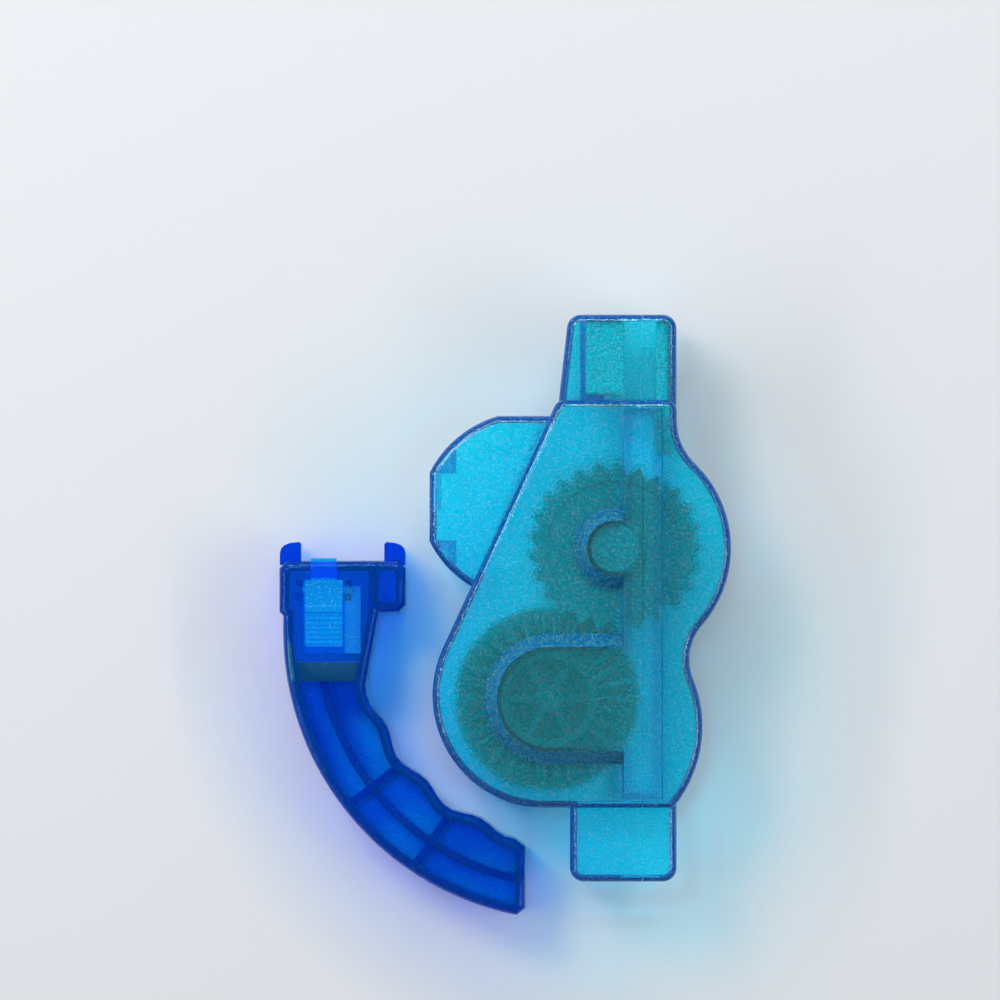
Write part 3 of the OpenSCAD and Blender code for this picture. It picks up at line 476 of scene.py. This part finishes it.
low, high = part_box("drum_bristles")
drum_axis = (np.array(low) + np.array(high)) / 2
sleeve_in, sleeve_out = 0.00952, 0.0104
rows, spots = 9, 30
a = around(rows, spots)
across = low[2] + (high[2] - low[2]) * (np.arange(rows) + 0.5) / rows
aims = np.stack([np.cos(a), np.sin(a), np.zeros(a.shape)], -1)
roots = np.stack([drum_axis[0] + sleeve_out * aims[..., 0],
    drum_axis[1] + sleeve_out * aims[..., 1], np.broadcast_to(across[:, None], a.shape)], -1)
band = ring_band(drum_axis, [(sleeve_in, low[2]), (sleeve_out, low[2]), (sleeve_out, high[2]),
    (sleeve_in, high[2])], 120)
tufts = bristle_tufts("drum_tufts", roots.reshape(-1, 3), aims.reshape(-1, 3),
    (high[0] - low[0]) / 2 - sleeve_out - end_gap, splay=0.14, thick=0.00014, each=11,
    backing=band, seed=11)
tufts.data.materials.append(filament_grey)
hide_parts("drum_bristles")
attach(tufts, "drum_wheel")

# The handle: an open curved channel with ribs, finger waves and two jaws that grip the lobe,
# moulded from the same family of plastic in a much deeper blue. The latch sits in its window.
handle_passing, handle_density, handle_rough = (0.02, 0.8, 0.93), 1400.0, (0.06, 0.14)
handle_blue = clear_plastic("handle_blue", tint=(0.0, 0.6, 0.85), painted_glint=(0.2, 0.95, 1.0),
    through=0.85, passing=handle_passing, depth=(0.0, 0.885, 0.975), density=handle_density,
    rough=handle_rough, grain=0.25, share=0.56, shine=(0.2, 0.6, 1.0))
# handle_plate_light is the handle's plastic made paler and milkier, painted light on the head's
# plate; handle_wall_shade is it in a deeper blue, painted shade on the walls and ribs.
handle_plate_light = clear_plastic("handle_plate_light", tint=(0.0, 0.55, 1.0), painted_glint=(0.25, 0.95, 1.0),
    through=0.8, passing=handle_passing, depth=(0.0, 0.885, 0.975), density=handle_density,
    rough=handle_rough, grain=0.25, share=0.54, shine=(0.5, 0.8, 1.0))
handle_wall_shade = clear_plastic("handle_wall_shade", tint=(0.0, 0.22, 0.95), painted_glint=(0.1, 0.7, 1.0),
    through=0.85, passing=handle_passing, depth=(0.0, 0.87, 0.985), density=handle_density,
    rough=handle_rough, grain=0.25, share=0.58, shine=(0.15, 0.5, 1.0))
plate_x, plate_y, plate_half_x, plate_half_y = -0.0413, -0.002, 0.0088, 0.0125
channel_floor = 0.0025


def handle_tones(centre, normal):
    """The channel's floor is 0, the head's plate 1, painted paler and milkier as painted light, and
    the walls and ribs, also on top, are 2, painted a deeper blue as painted shade.
    """
    level = np.abs(normal[:, 2]) > 0.7
    plate = ((np.abs(centre[:, 1] - plate_y) < plate_half_y)
        & (np.abs(centre[:, 0] - plate_x) < plate_half_x))
    return np.where(level & (centre[:, 2] < channel_floor), 0, np.where(level & plate, 1, 2))


handle = moulding("handle_moulding", "handle", "handle", edge=0.00015)
face_tones(handle, (handle_blue, handle_plate_light, handle_wall_shade), handle_tones)

# The latch: a ridged press pad with a stem, two pivot stubs and a nose. It is painted a paler
# tone of the handle's blue, with denser painted glints, as painted light on its ridges.
latch_lit_blue = clear_plastic("latch_lit_blue", tint=(0.0, 0.66, 0.95), painted_glint=(0.2, 1.0, 1.0),
    through=0.7, passing=handle_passing, depth=(0.0, 0.885, 0.975), density=handle_density,
    rough=handle_rough, grain=0.2, share=0.58, shine=(0.6, 0.95, 1.0))
coat(moulding("latch_moulding", "handle_latch", "latch"), latch_lit_blue)

# The room: a plain pale floor, a soft key lamp from the upper left and a weaker one from the
# right, three long narrow lamps that draw lines of light on the edges, and a pale sky that is
# dimmer at its top, where the housing's faces mirror it.
out_to, ground = 4, -0.0002
floor_mesh = bpy.data.meshes.new("floor")
floor_mesh.from_pydata([(-out_to, -out_to, ground), (out_to, -out_to, ground),
    (out_to, out_to, ground), (-out_to, out_to, ground)], [], [(0, 1, 2, 3)])
floor = stand("floor", floor_mesh)
paper, paper_tree = start_material("pale_paper")
paper_face = paper_tree.nodes["Principled BSDF"]
paper_face.inputs["Base Color"].default_value = (0.74, 0.76, 0.79, 1)
paper_face.inputs["Roughness"].default_value = 0.9
floor_mesh.materials.append(paper)

for name, where, size, power in (("key", (-0.45, 0.5, 0.85), (0.35, 0.35), 3.7),
        ("fill", (0.8, -0.2, 0.8), (0.5, 0.5), 1.7),
        ("left_strip", (-0.95, 0.1, 0.75), (1.3, 0.12), 4.5),
        ("top_strip", (0.0, 1.0, 0.75), (1.3, 0.12), 6.5),
        ("right_strip", (0.95, 0.1, 0.75), (1.3, 0.12), 3.0)):
    lamp = bpy.data.lights.new(name, "AREA")
    lamp.shape = "RECTANGLE"
    lamp.size, lamp.size_y = size
    lamp.energy = power
    holder = stand(name, lamp)
    holder.location = where
    holder.rotation_euler = Vector([-c for c in where]).to_track_quat("-Z", "Y").to_euler()

world = bpy.data.worlds.new("sky")
world.use_nodes = True
bpy.context.scene.world = world
sky = world.node_tree
sky.nodes["Background"].inputs["Color"].default_value = (0.97, 0.99, 1, 1)
way_up = place(sky, "ShaderNodeTexCoord").outputs["Generated"]
height = place(sky, "ShaderNodeSeparateXYZ", None, {0: way_up}).outputs["Z"]
strength = place(sky, "ShaderNodeMapRange", None, {"Value": height, "From Min": 0.0,
    "From Max": 0.9, "To Min": 0.5, "To Max": 0.1})
sky.links.new(strength.outputs[0], sky.nodes["Background"].inputs["Strength"])

# The camera stands straight above, as the photograph was taken, with a long lens: its frame is
# 232 mm wide at a height of 27 mm, a little under the housing's front face.
camera_height, frame_height, frame_width, sensor = 2.5, 0.027, 0.232, 36
camera = stand("camera", bpy.data.cameras.new("camera"))
camera.location = (-0.0011, 0.0275, camera_height)
camera.data.sensor_width = sensor
camera.data.lens = sensor * (camera_height - frame_height) / frame_width
camera.data.clip_end = 20
bpy.context.scene.camera = camera
bpy.context.scene.view_settings.view_transform = "Standard"
